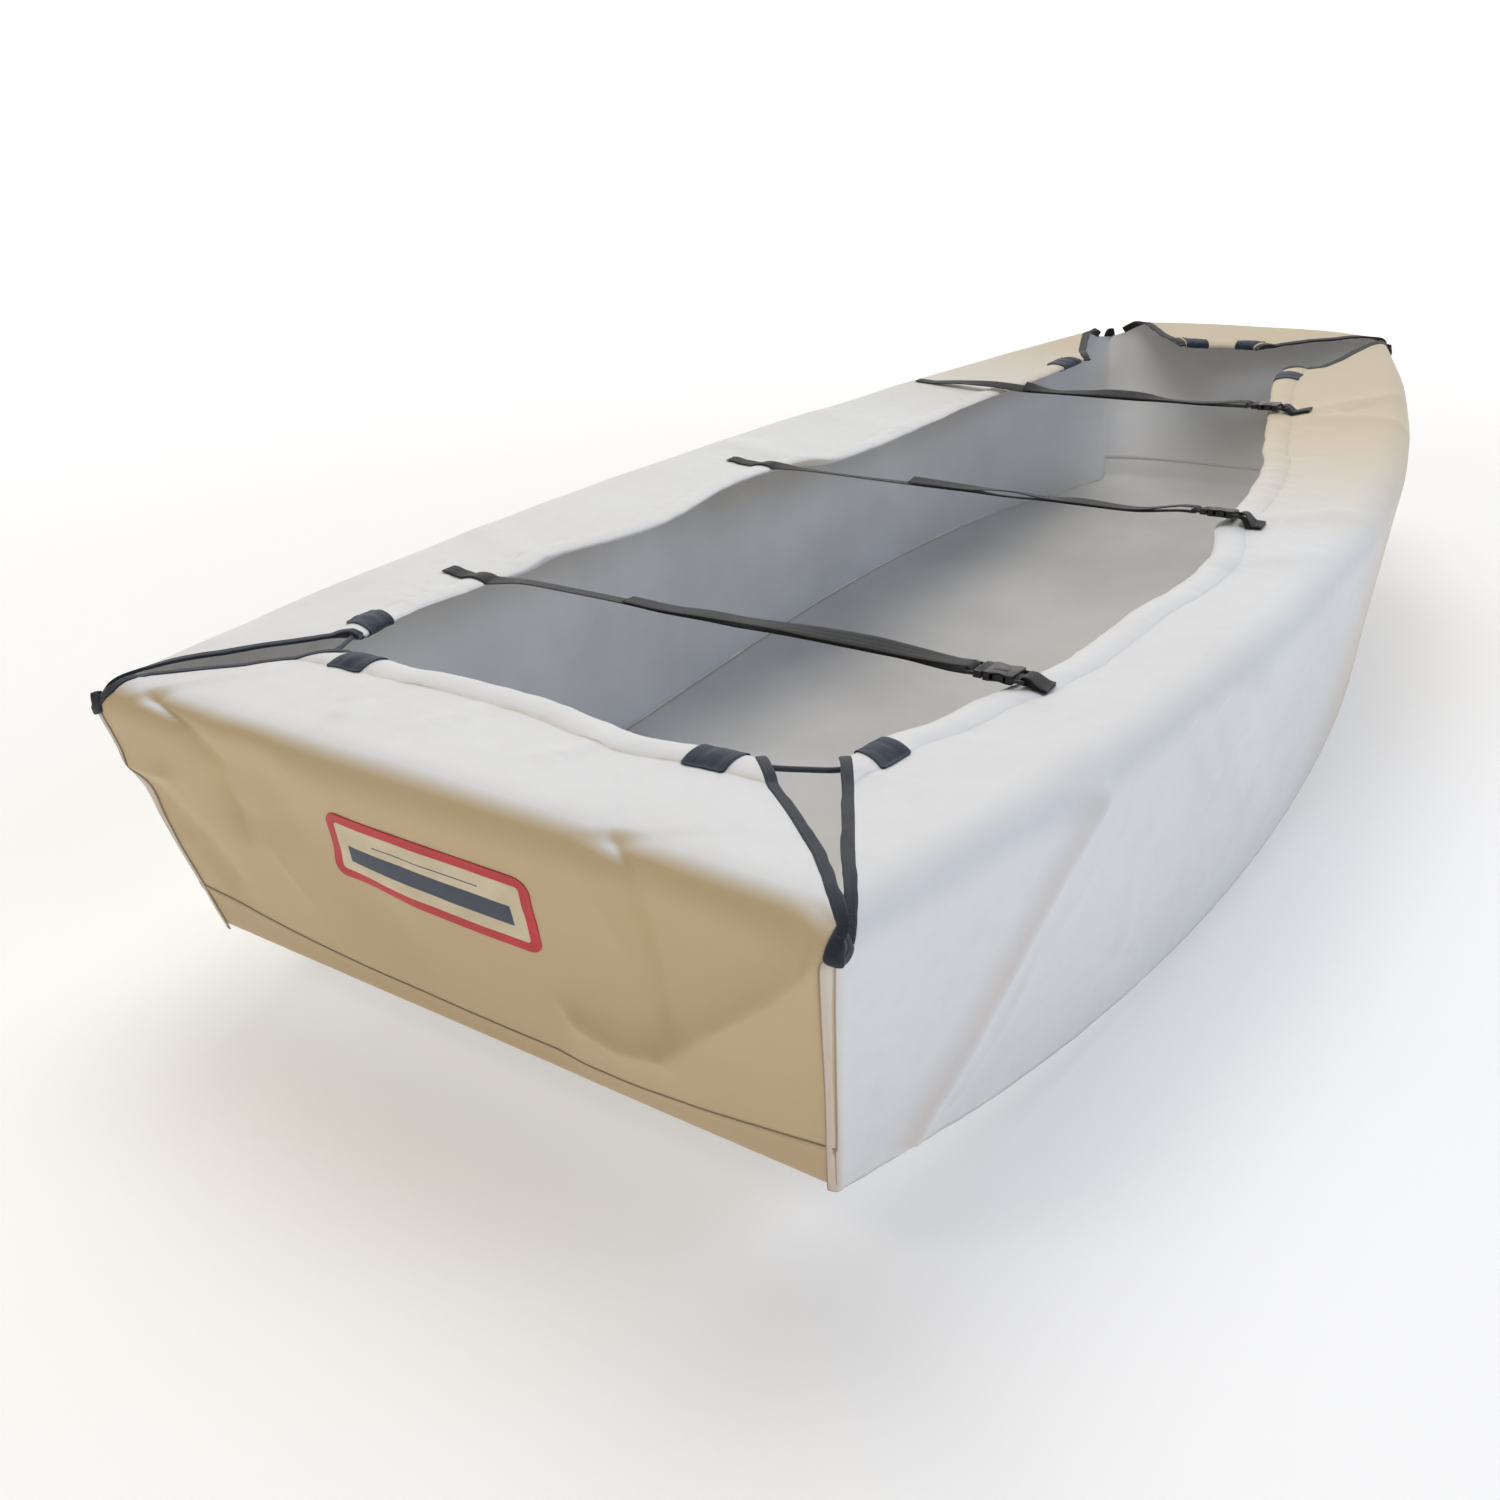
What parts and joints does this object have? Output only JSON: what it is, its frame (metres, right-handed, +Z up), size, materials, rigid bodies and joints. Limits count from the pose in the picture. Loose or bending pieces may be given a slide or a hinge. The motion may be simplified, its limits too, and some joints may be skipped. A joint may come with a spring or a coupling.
{
  "type": "dinghy hull cover",
  "caption": "Fitted cloth cover for the hull of a small pram dinghy, with a gathered elastic rim turned in over the gunwale and buckled straps across the opening.",
  "frame": {"origin": "middle of the length and of the beam, in the plane of the hull's gunwale, where the hull carries the cover", "axes": "+X towards the bow, +Y to port, +Z up"},
  "size_m": [2.3654, 1.06, 0.4296],
  "materials": {
    "cloth": "white coated polyester, satin",
    "tape": "black binding tape, matt",
    "elastic": "black braided elastic, matt",
    "print": "cream cloth with plain red and navy stripes",
    "webbing": "charcoal woven webbing, matt",
    "moulded": "black acetal, fine grain"
  },
  "bodies": {
    "root": {"panel_bottom": "cloth", "panel_port": "cloth", "panel_starboard": "cloth", "panel_stern": "cloth", "panel_bow": "cloth", "binding_port_stern": "tape", "binding_port_bow": "tape", "binding_starboard_stern": "tape", "binding_starboard_bow": "tape", "patch_port_stern_side": "tape", "patch_port_stern_end": "tape", "patch_port_bow_side": "tape", "patch_port_bow_end": "tape", "patch_starboard_stern_side": "tape", "patch_starboard_stern_end": "tape", "patch_starboard_bow_side": "tape", "patch_starboard_bow_end": "tape", "elastic_port_stern": "elastic", "elastic_starboard_stern": "elastic", "stern_patch": "print", "strap_aft_long": "webbing", "strap_aft_short": "webbing", "strap_middle_long": "webbing", "strap_middle_short": "webbing", "strap_forward_long": "webbing", "strap_forward_short": "webbing", "buckle_aft_prongs": "moulded", "buckle_aft_socket": "moulded", "buckle_middle_prongs": "moulded", "buckle_middle_socket": "moulded", "buckle_forward_prongs": "moulded", "buckle_forward_socket": "moulded"}
  },
  "joints": []
}
